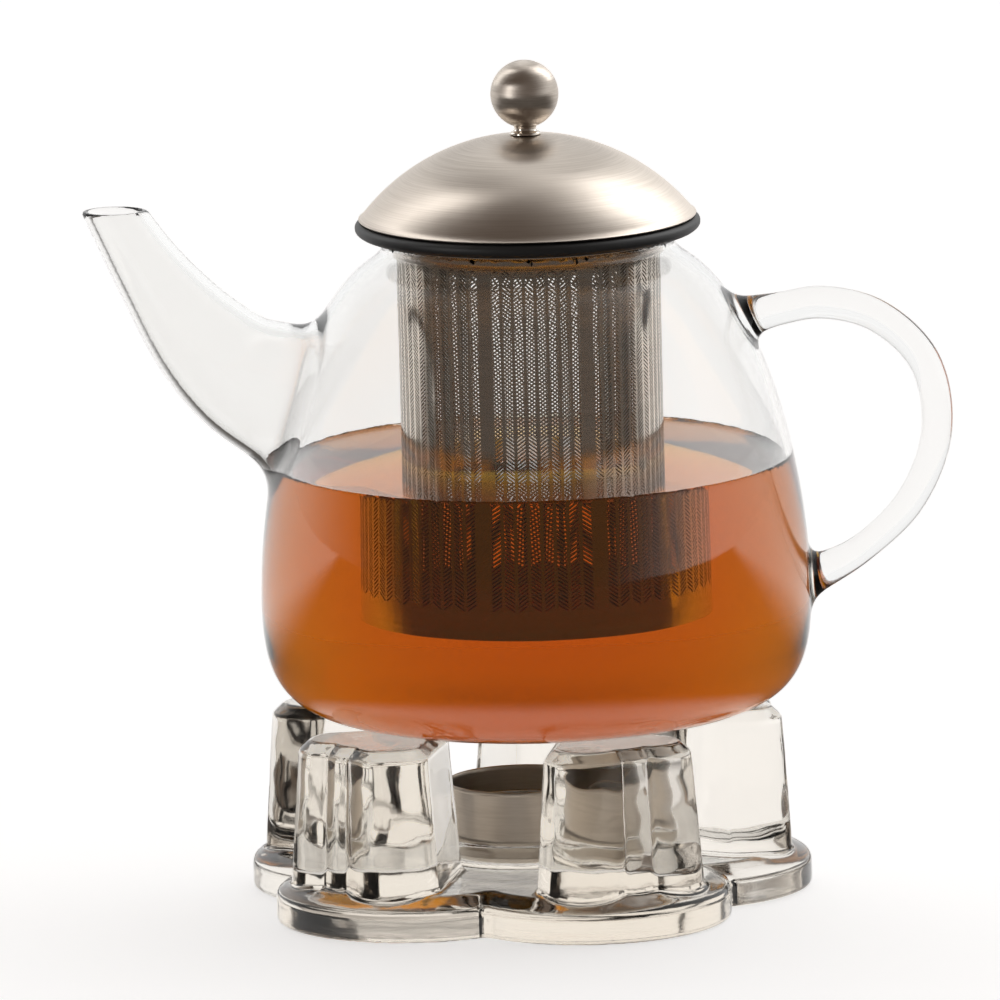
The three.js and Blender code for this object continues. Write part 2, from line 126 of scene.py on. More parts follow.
@dataclass(frozen=True)
class ClearMatter:
    """Glass that was worked or pressed while hot, or tea: clear, with faint waves in its skin.

    The waves bend what is seen through it, which tells the eye that it is glass and not plastic.
    """

    name: str
    tint: str
    ior: float
    wave_mm: float
    wave_height_mm: float
    absorb: Optional[str] = None
    absorb_density: float = 0.0
    roughness: float = 0.0
    wave_detail: float = 2.0
    wave_roughness: float = 0.45

    def build(self) -> Material:
        """Return the material."""
        material, tree, output, here = new_material(self.name)
        waves = add_node(tree, "ShaderNodeTexNoise", {
            "Vector": here, "Scale": 1 / (self.wave_mm * MM), "Detail": self.wave_detail,
            "Roughness": self.wave_roughness,
        })
        bump = add_node(tree, "ShaderNodeBump", {
            "Height": waves.outputs["Fac"], "Strength": 1.0, "Distance": self.wave_height_mm * MM,
        })
        shader = add_node(tree, "ShaderNodeBsdfPrincipled", {
            "Base Color": linear(self.tint), "Roughness": self.roughness, "IOR": self.ior,
            "Transmission Weight": 1.0, "Normal": bump.outputs["Normal"],
        })
        tree.links.new(shader.outputs["BSDF"], output.inputs["Surface"])
        if self.absorb:
            volume = add_node(tree, "ShaderNodeVolumeAbsorption", {
                "Color": linear(self.absorb), "Density": self.absorb_density,
            })
            tree.links.new(volume.outputs["Volume"], output.inputs["Volume"])
        return material


class Grain(Enum):
    """Which way a steel surface was worked."""

    TURNED = "turned"
    ROLLED = "rolled"


@dataclass(frozen=True)
class StainlessSteel:
    """Stainless steel. Turned steel has fine rings round its axis, and rolled sheet faint streaks.

    The rings stretch each highlight into a fan across them, which is the sign of a brushed lid.
    """

    name: str
    grain: Grain
    colour: str = "#E9E0D6"
    shade: str = "#A89C8E"
    roughness: float = 0.3
    anisotropy: float = 0.85
    line_mm: float = 0.45
    line_height_mm: float = 0.02
    axis_x_mm: float = 0.0

    def build(self) -> Material:
        """Return the material."""
        material, tree, output, here = new_material(self.name)
        centred = add_node(tree, "ShaderNodeVectorMath", {
            0: here, 1: (-self.axis_x_mm * MM, 0, 0),
        }, operation="ADD").outputs["Vector"]
        flat = add_node(tree, "ShaderNodeVectorMath", {
            0: centred, 1: (1, 1, 0),
        }, operation="MULTIPLY").outputs["Vector"]
        way = add_node(tree, "ShaderNodeVectorMath", {0: flat}, operation="NORMALIZE")
        radius = add_node(tree, "ShaderNodeVectorMath", {0: flat}, operation="LENGTH")
        parts = add_node(tree, "ShaderNodeSeparateXYZ", {0: centred})
        down = add_node(tree, "ShaderNodeMath", {
            0: radius.outputs["Value"], 1: parts.outputs["Z"],
        }, operation="SUBTRACT")
        rings = add_node(tree, "ShaderNodeMath", {
            0: down.outputs[0], 1: 1 / (self.line_mm * MM),
        }, operation="MULTIPLY")
        sides = add_node(tree, "ShaderNodeSeparateXYZ", {0: way.outputs["Vector"]})
        stretch = add_node(tree, "ShaderNodeCombineXYZ", {
            "X": sides.outputs["X"], "Y": sides.outputs["Y"], "Z": rings.outputs[0],
        })
        lines = add_node(tree, "ShaderNodeTexNoise", {
            "Vector": stretch.outputs[0], "Scale": 1.0, "Detail": 4.0, "Roughness": 0.7,
        })
        colours = add_node(tree, "ShaderNodeMix", {
            "Factor": lines.outputs["Fac"], 6: linear(self.shade), 7: linear(self.colour),
        }, data_type="RGBA")
        bump = add_node(tree, "ShaderNodeBump", {
            "Height": lines.outputs["Fac"], "Strength": 0.6, "Distance": self.line_height_mm * MM,
        })
        around = add_node(tree, "ShaderNodeTangent", direction_type="RADIAL", axis="Z")
        shader = add_node(tree, "ShaderNodeBsdfPrincipled", {
            "Base Color": colours.outputs[2], "Metallic": 1.0, "Roughness": self.roughness,
            "Anisotropic": self.anisotropy if self.grain is Grain.TURNED else 0.0,
            "Normal": bump.outputs["Normal"], "Tangent": around.outputs["Tangent"],
        })
        tree.links.new(shader.outputs["BSDF"], output.inputs["Surface"])
        return material


@dataclass(frozen=True)
class PlainFinish:
    """An opaque finish, a little uneven in its colour and skin, such as a moulding or wax."""

    name: str
    colour: str
    shade: str
    roughness: float
    speck_mm: float
    speck_height_mm: float
    metallic: float = 0.0
    subsurface: float = 0.0

    def build(self) -> Material:
        """Return the material."""
        material, tree, output, here = new_material(self.name)
        specks = add_node(tree, "ShaderNodeTexNoise", {
            "Vector": here, "Scale": 1 / (self.speck_mm * MM), "Detail": 3.0,
        })
        colours = add_node(tree, "ShaderNodeMix", {
            "Factor": specks.outputs["Fac"], 6: linear(self.shade), 7: linear(self.colour),
        }, data_type="RGBA")
        bump = add_node(tree, "ShaderNodeBump", {
            "Height": specks.outputs["Fac"], "Strength": 0.5, "Distance": self.speck_height_mm * MM,
        })
        shader = add_node(tree, "ShaderNodeBsdfPrincipled", {
            "Base Color": colours.outputs[2], "Metallic": self.metallic,
            "Roughness": self.roughness, "Subsurface Weight": self.subsurface,
            "Normal": bump.outputs["Normal"],
        })
        tree.links.new(shader.outputs["BSDF"], output.inputs["Surface"])
        return material


# Blown borosilicate is nearly colourless, and its waves are long and shallow.
BOROSILICATE = ClearMatter("blown_borosilicate_glass", "#FDFDFC", 1.47, 28, 0.05)
# Pressed soda-lime glass is thick enough to show a warm grey. The mould leaves shorter waves in it,
# and a skin that isn't quite clear.
SODA_LIME = ClearMatter("pressed_soda_lime_glass", "#FCFBF8", 1.51, 9, 0.08, "#F0E0C8", 5.0, 0.06)
# Black tea drinks blue first, then green, so thin tea is orange and deep tea is red brown.
BREWED_TEA = ClearMatter("brewed_black_tea", "#FFFFFF", 1.333, 35, 0.12, "#F9E96C", 100.0,
                         wave_detail=1.0, wave_roughness=0.5)
# The lid is brushed in rings. Real lines are finer than 0.1 mm, and are drawn coarser to show.
BRUSHED_LID = StainlessSteel("brushed_stainless_steel", Grain.TURNED, axis_x_mm=5)
# Sheet that was rolled and polished keeps faint streaks and mirrors what is round it.
POLISHED_SHEET = StainlessSteel("polished_stainless_sheet", Grain.ROLLED, "#E6DED4", "#C9C0B5",
                                0.14, 0, 1.2, 0.01, 5)
# The candle cup is thinner sheet, dulled by heat.
CUP_SHEET = StainlessSteel("heat_dulled_stainless_sheet", Grain.ROLLED, "#D3C8BB", "#A99D90",
                           0.34, 0, 1.2, 0.01, 0)
# Moulded silicone is satin and almost black.
SILICONE = PlainFinish("moulded_black_silicone", "#161617", "#101011", 0.5, 1.5, 0.02)
# Pressed aluminium foil is bright, with small dents.
FOIL = PlainFinish("pressed_aluminium_foil", "#D9DADB", "#C6C7C9", 0.25, 2.5, 0.05, metallic=1.0)
# Paraffin wax lets a little light in and scatters it.
PARAFFIN = PlainFinish("white_paraffin_wax", "#F7F4EC", "#EFEAE0", 0.45, 3, 0.04, subsurface=0.3)
# Braided cotton is matt, with threads of about half a millimetre.
COTTON = PlainFinish("braided_cotton", "#EFE8D8", "#CFC5B0", 0.9, 0.5, 0.1)


# --- Mesh helpers ---


def new_piece(name: str, verts: np.ndarray, faces: Sequence, finish: Material,
              normals: Optional[np.ndarray] = None) -> Piece:
    """Make a smooth-shaded object from vertices in millimetres.

    Args:
        name: The piece's name.
        verts: The vertices, in millimetres.
        faces: The faces, each as vertex numbers.
        finish: The material.
        normals: Exact vertex normals, where the shape's formula gives them.

    Returns:
        The object, in metres.
    """
    mesh = bpy.data.meshes.new(name)
    mesh.from_pydata((np.asarray(verts) * MM).tolist(), [], [list(map(int, f)) for f in faces])
    mesh.validate()
    mesh.polygons.foreach_set("use_smooth", [True] * len(mesh.polygons))
    if normals is None:
        mesh.set_sharp_from_angle(angle=SHARP)
    else:
        mesh.normals_split_custom_set_from_vertices(normals.tolist())
    mesh.materials.append(finish)
    piece = bpy.data.objects.new(name, mesh)
    bpy.context.scene.collection.objects.link(piece)
    return piece


def declare(piece: Piece, body: str, slot: str, *nodes: str) -> None:
    """Hang a piece on the body that it rides on, hide the CAD nodes that it stands for, and report
    it.

    Args:
        piece: The piece.
        body: The body that it rides on.
        slot: Not used.
        nodes: The CAD nodes that it replaces.
    """
    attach(piece, body)
    if nodes:
        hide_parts(*nodes)
    log.info("%s: %d faces", piece.name, len(piece.data.polygons))


def refinish(node: str, finish: Material) -> None:
    """Give a CAD node that stays in view another material."""
    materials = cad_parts[node].data.materials
    materials.clear()
    materials.append(finish)


def turned(outline: Outline, around: int) -> tuple[np.ndarray, list]:
    """Turn an outline about the Z axis.

    Args:
        outline: Anticlockwise [radius, height] points in millimetres, from axis to axis or closed.
        around: How many steps make a full turn.

    Returns:
        Vertices and faces.
    """
    points = np.asarray(outline, float)
    closed = np.allclose(points[0], points[-1])
    if closed:
        points = points[:-1]
    angles = np.linspace(0, 2 * math.pi, around, endpoint=False)
    verts, rows, faces = [], [], []
    for radius, height in points:
        if radius < ON_AXIS:
            rows.append([len(verts)] * around)
            verts.append((0.0, 0.0, height))
        else:
            rows.append(list(range(len(verts), len(verts) + around)))
            verts.extend((radius * math.cos(a), radius * math.sin(a), height) for a in angles)
    for low, high in zip(rows, rows[1:] + rows[:1] if closed else rows[1:]):
        for i in range(around):
            j = (i + 1) % around
            corners = [low[i], low[j], high[j], high[i]]
            ring = [c for k, c in enumerate(corners) if c != corners[k - 1]]
            if len(set(ring)) > 2:
                faces.append(ring)
    return np.array(verts), faces


def rounded(outline: Outline, radius: float) -> Outline:
    """Round every corner of an outline that is off the axis.

    Args:
        outline: [radius, height] points. A closed outline repeats its first point.
        radius: The rounding, in millimetres. It takes up at most 45% of either side.

    Returns:
        The new outline.
    """
    steps, limit = 3, 0.45
    points = [np.array(p, float) for p in outline]
    closed = np.allclose(points[0], points[-1])
    core = points[:-1] if closed else points
    made: Outline = []
    for i, corner in enumerate(core):
        if not closed and i in (0, len(core) - 1):
            made.append(tuple(corner))
            continue
        before, after = core[i - 1], core[(i + 1) % len(core)]
        back, on = np.linalg.norm(before - corner), np.linalg.norm(after - corner)
        reach = min(radius, limit * back, limit * on)
        start = corner + (before - corner) / back * reach
        end = corner + (after - corner) / on * reach
        for k in range(steps + 1):
            t = k / steps
            made.append(tuple((1 - t) ** 2 * start + 2 * t * (1 - t) * corner + t * t * end))
    if closed:
        made.append(made[0])
    return made


@dataclass(frozen=True)
class TurnedPart:
    """A piece that is turned about an upright axis and stands for one CAD node."""

    name: str
    outline: Outline
    finish: Material
    body: str
    slot: str
    node: str
    around: int = 128
    height: float = 0.0

    def make(self, place: Points) -> None:
        """Make the piece with the foot of its axis at a place in millimetres."""
        verts, faces = turned(self.outline, self.around)
        verts = verts + place + np.array([0, 0, self.height])
        piece = new_piece(self.name, verts, faces, self.finish)
        declare(piece, self.body, self.slot, self.node)


def smooth_min(a: np.ndarray, b: np.ndarray, width: float) -> np.ndarray:
    """Join two distance fields with a fillet of about that width."""
    share = np.clip(0.5 + 0.5 * (b - a) / width, 0, 1)
    return b * (1 - share) + a * share - width * share * (1 - share)


def smooth_max(a: np.ndarray, b: np.ndarray, width: float) -> np.ndarray:
    """Cut two distance fields with an edge rounded over that width."""
    return -smooth_min(-a, -b, width)


def slope(shape: Field, points: Points, step: float) -> np.ndarray:
    """Measure the direction in which a distance field grows.

    Args:
        shape: The field.
        points: Where to measure.
        step: The span of the differences, in millimetres.

    Returns:
        Unit vectors.
    """
    grown = np.empty_like(points)
    for k in range(3):
        offset = np.zeros(3)
        offset[k] = step
        grown[:, k] = shape(points + offset) - shape(points - offset)
    return grown / np.maximum(np.linalg.norm(grown, axis=1, keepdims=True), TINY)


FIRST_PULL, SPREAD_ROUNDS, SPREAD_SHARE = 0.9, 6, 0.6


def skin(shape: Field, low: Sequence[float], high: Sequence[float], cell: float,
         step: float = 0.6) -> tuple[np.ndarray, np.ndarray, np.ndarray]:
    """Draw a quad skin where a distance field is zero.

    Each cell that the surface crosses gets one vertex. The vertices are then spread evenly along
    the surface and moved onto it exactly, so that glass doesn't glitter at uneven faces.

    Args:
        shape: The field, negative inside.
        low: The lowest corner of the space looked at, in millimetres.
        high: Its highest corner.
        cell: The size of a cell.
        step: The span over which slopes are measured.

    Returns:
        Vertices, quads and vertex normals.
    """
    axes = [np.arange(a, b + cell, cell) for a, b in zip(low, high)]
    sizes = tuple(len(a) for a in axes)
    values = np.empty(sizes, np.float32)
    for i, x in enumerate(axes[0]):
        y, z = np.meshgrid(axes[1], axes[2], indexing="ij")
        plane = np.stack([np.full(y.size, x), y.ravel(), z.ravel()], 1)
        values[i] = shape(plane).reshape(sizes[1:])
    inside = values < 0
    cells, spots, quads = [], [], []
    for axis in range(3):
        one, two = (axis + 1) % 3, (axis + 2) % 3
        first, second = [slice(None)] * 3, [slice(None)] * 3
        first[axis], second[axis] = slice(None, -1), slice(1, None)
        crossed = np.argwhere(inside[tuple(first)] != inside[tuple(second)])
        edge = (crossed[:, one] > 0) & (crossed[:, two] > 0)
        edge &= (crossed[:, one] < sizes[one] - 1) & (crossed[:, two] < sizes[two] - 1)
        crossed = crossed[edge]
        ahead = crossed.copy()
        ahead[:, axis] += 1
        a, b = values[tuple(crossed.T)], values[tuple(ahead.T)]
        spot = crossed.astype(float)
        spot[:, axis] += a / (a - b)
        around = []
        for da, db in ((-1, -1), (0, -1), (0, 0), (-1, 0)):
            cell_at = crossed.copy()
            cell_at[:, one] += da
            cell_at[:, two] += db
            around.append(np.ravel_multi_index(tuple(cell_at.T), sizes))
            cells.append(around[-1])
            spots.append(spot)
        ring = np.stack(around, 1)
        ring[a > 0] = ring[a > 0][:, ::-1]
        quads.append(ring)
    number, which = np.unique(np.concatenate(cells), return_inverse=True)
    count = np.bincount(which)
    every = np.concatenate(spots)
    verts = np.stack([np.bincount(which, every[:, k]) / count for k in range(3)], 1)
    verts = verts * cell + np.array([a[0] for a in axes])
    faces = np.searchsorted(number, np.concatenate(quads))
    verts -= slope(shape, verts, step) * shape(verts)[:, None] * FIRST_PULL
    normals = slope(shape, verts, step)
    starts, ends = faces.ravel(), np.roll(faces, -1, axis=1).ravel()
    links = np.bincount(starts, minlength=len(verts))[:, None]
    for _ in range(SPREAD_ROUNDS):
        sums = [np.bincount(starts, verts[ends, k], len(verts)) for k in range(3)]
        verts += SPREAD_SHARE * (np.stack(sums, 1) / links - verts)
        verts -= normals * shape(verts)[:, None]
    verts -= slope(shape, verts, step) * shape(verts)[:, None]
    return verts, faces, slope(shape, verts, step)


@dataclass
class PathTube:
    """A round tube along a smooth path in the XZ plane, whose radius changes along it.

    Its first and last steps go on straight for some of their own lengths, so it has no end caps.
    """

    stations: Sequence[Sequence[float]]
    samples: int = 90
    ends: float = 9.0

    def __post_init__(self) -> None:
        """Work out closely spaced points and radii along the path."""
        knots = np.array([(x, z, radius) for x, z, radius in self.stations], float)
        padded = np.vstack([2 * knots[0] - knots[1], knots, 2 * knots[-1] - knots[-2]])
        gaps = np.sqrt(np.linalg.norm(np.diff(padded[:, :2], axis=0), axis=1))
        times = np.concatenate([[0], np.cumsum(gaps)])
        made = []
        for t in np.linspace(times[1], times[-2], self.samples):
            i = int(np.clip(np.searchsorted(times, t) - 1, 1, len(times) - 3))
            made.append(self._between(padded[i - 1:i + 3], times[i - 1:i + 3], t))
        track = np.array(made)
        self.points = track[:, :2]
        self.radii = track[:, 2]

    @staticmethod
    def _between(p: np.ndarray, s: np.ndarray, t: float) -> np.ndarray:
        """Return the point at t of a centripetal curve through four knots."""
        def mix(a: np.ndarray, b: np.ndarray, i: int, j: int) -> np.ndarray:
            """Blend two points by how far t lies between knots i and j."""
            return (s[j] - t) / (s[j] - s[i]) * a + (t - s[i]) / (s[j] - s[i]) * b
        a1, a2, a3 = mix(p[0], p[1], 0, 1), mix(p[1], p[2], 1, 2), mix(p[2], p[3], 2, 3)
        return mix(mix(a1, a2, 0, 2), mix(a2, a3, 1, 3), 1, 2)

    def distance(self, at: Points, inset: float = 0.0) -> np.ndarray:
        """Return how far points are from the tube's skin, drawn inwards by inset."""
        best = np.full(len(at), FAR)
        last = self.samples - 2
        for i in range(last + 1):
            start, along = self.points[i], self.points[i + 1] - self.points[i]
            share = (at[:, 0] - start[0]) * along[0] + (at[:, 2] - start[1]) * along[1]
            share = share / (along @ along)
            share = np.clip(share, 0 if i else -self.ends, 1 if i < last else self.ends)
            dx = at[:, 0] - start[0] - share * along[0]
            dz = at[:, 2] - start[1] - share * along[1]
            radius = self.radii[i] + np.clip(share, 0, 1) * (self.radii[i + 1] - self.radii[i])
            best = np.minimum(best, np.sqrt(dx * dx + at[:, 1] ** 2 + dz * dz) - radius)
        return best + inset


# --- Pot ---


@dataclass
class GlassPot:
    """The blown pot, one piece of glass with its spout and handle, and the tea in it."""

    axis_x: float = 5.0
    base: float = POT_LOW / MM
    height: float = (POT_HIGH - POT_LOW) / MM
    bottom_radius: float = 44.0
    belly_radius: float = 73.4
    belly_height: float = 30.7
    neck_radius: float = 39.0
    neck_length: float = 3.2
    neck_fillet: float = 4.2
    wall: float = 2.0
    floor: float = 4.2
    spout_wall: float = 1.8
    spout_root: float = 86.0
    spout_rise: float = 51.3
    handle_top: float = 104.6
    handle_low: float = 34.4
    handle_reach: float = 50.7
    rod_radius: float = 4.2
    spout_zone: float = 22.0
    handle_zone: float = 16.0
    spout_fillet: float = 7.0
    handle_fillet: float = 4.5
    floor_fillet: float = 1.5
    edge_rounding: float = 0.7
    foot_rounding: float = 0.5
    mouth_rounding: float = 1.0
    ring_pitch: float = 9.0
    ring_depth: float = 0.6
    ring_reach: float = 36.0
    punt: float = 0.8
    tea_level: float = 67.3
    tea_overlap: float = 0.4
    tea_rounding: float = 0.4
    tea_climb: float = 1.0
    tea_climb_reach: float = 1.4
    cell: float = 1.0

    def outline(self, inset: float, floor: float, steps: int = 60) -> np.ndarray:
        """Return the body's [radius, height] outline, bottom to neck, drawn inwards by inset."""
        bottom, belly = self.bottom_radius - inset, self.belly_radius - inset
        neck, foot = self.neck_radius - inset, self.height - self.neck_length
        top = np.array([neck + self.neck_fillet, foot - 0.8 * self.neck_fillet])
        rise = top[1] - self.belly_height
        t = np.linspace(0, 1, steps)[:, None]
        corner = [(bottom, floor), (bottom + 0.82 * (belly - bottom), floor),
                  (belly, self.belly_height + 0.68 * (floor - self.belly_height)),
                  (belly, self.belly_height)]
        side = [(belly, self.belly_height), (belly, self.belly_height + 0.33 * rise),
                (top[0] + 0.68 * (belly - top[0]), top[1] - 0.157 * rise), tuple(top)]
        curves = []
        for a, b, c, d in (map(np.array, corner), map(np.array, side)):
            curves.append((1 - t) ** 3 * a + 3 * t * (1 - t) ** 2 * b
                          + 3 * t * t * (1 - t) * c + t ** 3 * d)
        mid = np.array([neck, foot - 0.1 * self.neck_fillet])
        end = np.array([neck, foot + 0.3 * self.neck_fillet])
        fillet = (1 - t) ** 2 * top + 2 * t * (1 - t) * mid + t * t * end
        return np.vstack([curves[0], curves[1][1:], fillet[1:]])

    def body_field(self, inset: float, floor: float, top: float) -> Field:
        """Return the distance field of the body's outline turned about its axis.

        Args:
            inset: How far inwards the outline is drawn.
            floor: The height of its bottom.
            top: The height at which it is closed.

        Returns:
            A field of points in the pot's own frame.
        """
        line = self.outline(inset, floor)
        ring = np.vstack([[0, floor], line, [line[-1, 0], top], [0, top]])
        pitch, widest, below, above = 0.25, 92, 6, 12
        radii, heights = np.arange(0, widest, pitch), np.arange(-below, top + above, pitch)
        r, z = np.meshgrid(radii, heights, indexing="ij")
        spots = np.stack([r.ravel(), z.ravel()], 1)
        far = np.full(len(spots), FAR)
        within = np.zeros(len(spots), bool)
        for a, b in zip(ring, ring[1:]):
            along = b - a
            if along @ along < TINY:
                continue
            share = np.clip(((spots - a) @ along) / (along @ along), 0, 1)
            far = np.minimum(far, np.linalg.norm(spots - a - share[:, None] * along, axis=1))
            if abs(along[1]) > TINY:
                spans = (a[1] > spots[:, 1]) != (b[1] > spots[:, 1])
                crossing = a[0] + (spots[:, 1] - a[1]) * along[0] / along[1]
                within ^= spans & (spots[:, 0] < crossing)
        table = np.where(within, -far, far).reshape(r.shape)

        def distance(at: Points) -> np.ndarray:
            """Read the table between its points."""
            u = np.clip(np.hypot(at[:, 0], at[:, 1]) / pitch, 0, len(radii) - 1.001)
            v = np.clip((at[:, 2] + below) / pitch, 0, len(heights) - 1.001)
            i, j = u.astype(int), v.astype(int)
            fu, fv = u - i, v - j
            low = table[i, j] * (1 - fu) + table[i + 1, j] * fu
            high = table[i, j + 1] * (1 - fu) + table[i + 1, j + 1] * fu
            return low * (1 - fv) + high * fv

        return distance

    def radius_at(self, height: float) -> float:
        """Return the body's outer radius at a height."""
        line = self.outline(0, 0)
        return float(np.interp(height, line[:, 1], line[:, 0]))

    def spout(self) -> PathTube:
        """Return the spout's outer tube."""
        root = self.radius_at(self.spout_root)
        curve = [(-12, -8, 19.8), (0, 0, 19), (11.5, 5.8, 16.4), (22.5, 16, 13.7), (35.5, 34, 9.8),
                 (45.8, 52, 7.7), (49.8, 60, 7.4)]
        return PathTube([(-root - out, self.spout_root + up, radius) for out, up, radius in curve])

    def handle(self) -> PathTube:
        """Return the handle's rod, a little thicker at its two roots."""
        top, low = self.radius_at(self.handle_top), self.radius_at(self.handle_low)
        drop = self.handle_top - self.handle_low
        ear = [(0.19, -0.028, 1.05), (0.41, -0.048, 1.04), (0.7, 0.009, 1.04), (0.943, 0.186, 1.02),
               (1, 0.457, 0.98), (0.854, 0.723, 0.94), (0.58, 0.91, 0.92)]
        rod = self.rod_radius
        stations = [(top, self.handle_top, rod * 1.3)]
        stations += [(top + out * self.handle_reach, self.handle_top - down * drop, rod * wide)
                     for out, down, wide in ear]
        stations += [(low + 1, self.handle_low, rod * 1.2)]
        return PathTube(stations)

    def fields(self) -> tuple[Field, Field]:
        """Return the field of the glass and the field of the hollow inside it."""
        over_rim = self.height + 12
        ring_fade, ring_top, ring_rise, punt_inset = 12, 9, 4, 6
        body, filled = self.body_field(0, 0, self.height), self.body_field(0, 0, over_rim)
        spout, handle = self.spout(), self.handle()
        mouth = self.spout_root + self.spout_rise
        spout_from = -self.radius_at(self.spout_root) + self.spout_zone
        handle_from = self.radius_at(self.handle_top) - self.handle_zone

        def cavity(at: Points) -> np.ndarray:
            """Return the distance from the hollow, whose floor has faint rings."""
            value = smooth_max(filled(at) + self.wall, self.floor - at[:, 2], self.floor_fillet)
            radius = np.hypot(at[:, 0], at[:, 1])
            rings = np.cos(radius * 2 * math.pi / self.ring_pitch)
            rings = rings * np.clip((self.ring_reach - radius) / ring_fade, 0, 1)
            low_down = np.clip((ring_top - at[:, 2]) / ring_rise, 0, 1)
            value = value + self.ring_depth * rings * low_down
            near = at[:, 0] < spout_from
            if near.any():
                passage = spout.distance(at[near], self.spout_wall)
                value[near] = smooth_min(value[near], passage, self.spout_fillet)
            return value

        def glass(at: Points) -> np.ndarray:
            """Return the distance from the glass."""
            value = body(at)
            near = at[:, 0] < spout_from
            if near.any():
                cut = smooth_max(spout.distance(at[near]), at[near, 2] - mouth, self.mouth_rounding)
                value[near] = smooth_min(value[near], cut, self.spout_fillet)
            near = at[:, 0] > handle_from
            if near.any():
                value[near] = smooth_min(value[near], handle.distance(at[near]), self.handle_fillet)
            radius = np.hypot(at[:, 0], at[:, 1])
            share = radius / (self.bottom_radius - punt_inset)
            underside = self.punt * np.clip(1 - share ** 2, 0, 1)
            value = smooth_max(value, underside - at[:, 2], self.foot_rounding)
            return smooth_max(value, -cavity(at), self.edge_rounding)

        return glass, cavity

    def build(self) -> None:
        """Make the glass and the tea."""
        glass, cavity = self.fields()
        place = np.array([self.axis_x, 0, self.base])
        low, high = (-130, -78, -4), (116, 78, self.height + 12)
        verts, faces, normals = skin(glass, low, high, self.cell)
        pot = new_piece("glass_pot", verts + place, faces, BOROSILICATE.build(), normals)
        declare(pot, "pot", "pot_glass", "pot_body", "spout", "handle")

        def tea(at: Points) -> np.ndarray:
            """Return the distance from the tea, which climbs the glass and enters its skin."""
            wet = cavity(at)
            climb = self.tea_climb * np.exp(-np.maximum(0, -wet) / self.tea_climb_reach)
            above = at[:, 2] - (self.tea_level + climb)
            return smooth_max(wet - self.tea_overlap, above, self.tea_rounding)

        low, high = (-96, -78, -2), (78, 78, self.tea_level + 6)
        verts, faces, normals = skin(tea, low, high, self.cell)
        drink = new_piece("tea", verts + place, faces, BREWED_TEA.build(), normals)
        declare(drink, "pot", "pot_glass")


# --- Infuser ---


@dataclass
class Infuser:
    """The steel basket: a collar on the glass rim, a sleeve with herringbone slots, a bottom."""

    axis_x: float = 5.0
    rim: float = POT_HIGH / MM
    radius: float = 35.0
    sheet: float = 0.4
    length: float = 102.0
    columns: int = 72
    row_pitch: float = 1.02
    slot_width: float = 0.46
    slot_span: float = 2.25
    slant: float = math.radians(37)
    plain_top: float = 3.4
    plain_bottom: float = 8.0
    seams: tuple[float, ...] = (23.6, -18.7)
    collar_radius: float = 40.4
    collar_top: float = 0.9

    def sleeve(self) -> tuple[np.ndarray, list]:
        """Return the sleeve's vertices and faces: one sheet with its slots cut through."""
        low, high = -self.length + self.plain_bottom, -self.plain_top
        rows = int((high - low) / self.row_pitch)
        pitch = 2 * math.pi * self.radius / self.columns
        lift = math.tan(self.slant) * self.slot_span / 2
        bar = self.row_pitch - self.slot_width / math.cos(self.slant) * 0.8
        levels = [-self.length + 0.6, low - 1.5]
        for row in range(rows):
            levels += [low + row * self.row_pitch, low + row * self.row_pitch + bar]
        levels += [low + rows * self.row_pitch, high + 2.2, 0.8]
        slot_levels = range(3, 2 + 2 * rows, 2)
        verts, faces = [], []
        for face in (self.radius, self.radius - self.sheet):
            for column in range(self.columns):
                side = 1 if column % 2 else -1
                for edge in (-1, 1):
                    angle = (column * pitch + edge * self.slot_span / 2) / self.radius
                    for k, level in enumerate(levels):
                        rise = side * edge * lift if 2 <= k < 3 + 2 * rows else 0.0
                        x, y = face * math.sin(angle), -face * math.cos(angle)
                        verts.append((x, y, level + rise))
        stops, tall = 2 * self.columns, len(levels)
        inner = stops * tall
        step = 360 / self.columns
        plain = {round(seam / step) % self.columns for seam in self.seams}
        for stop in range(stops):
            here, there = stop * tall, (stop + 1) % stops * tall
            for k in range(tall - 1):
                corners = [here + k, there + k, there + k + 1, here + k + 1]
                if stop % 2 == 0 and k in slot_levels and stop // 2 not in plain:
                    for a, b in zip(corners, corners[1:] + corners[:1]):
                        faces.append([b, a, a + inner, b + inner])
                else:
                    faces += [corners, [c + inner for c in reversed(corners)]]
            top = tall - 1
            faces.append([there, here, here + inner, there + inner])
            faces.append([here + top, there + top, there + top + inner, here + top + inner])
        return np.array(verts), faces

    def build(self) -> None:
        """Make the basket's three pieces."""
        place = np.array([self.axis_x, 0, self.rim])
        steel = POLISHED_SHEET.build()
        verts, faces = self.sleeve()
        sleeve = new_piece("basket_sleeve", verts + place, faces, steel)
        declare(sleeve, "infuser", "polished_steel", "infuser_sleeve")
        inner, outer, low = self.radius + 0.3, self.radius + 0.9, -self.length
        collar = [(inner, -4), (outer, -4), (outer, 0.2), (self.collar_radius, 0.2),
                  (self.collar_radius, self.collar_top), (inner, self.collar_top), (inner, -4)]
        rim = self.radius - self.sheet - 0.05
        plate = [(0, low + 1.4), (20, low + 1.4), (22, low + 0.6), (rim - 1.5, low + 0.6),
                 (rim, low + 0.6), (rim, low + 4), (rim - 0.4, low + 4), (rim - 0.4, low + 1.2),
                 (22.3, low + 1.2), (20.3, low + 2), (0, low + 2)]
        for name, outline, node in (("basket_collar", rounded(collar, 0.28), "infuser_collar"),
                                    ("basket_bottom", rounded(plate, 0.5), "infuser_bottom")):
            TurnedPart(name, outline, steel, "infuser", "polished_steel", node).make(place)


# --- Lid ---


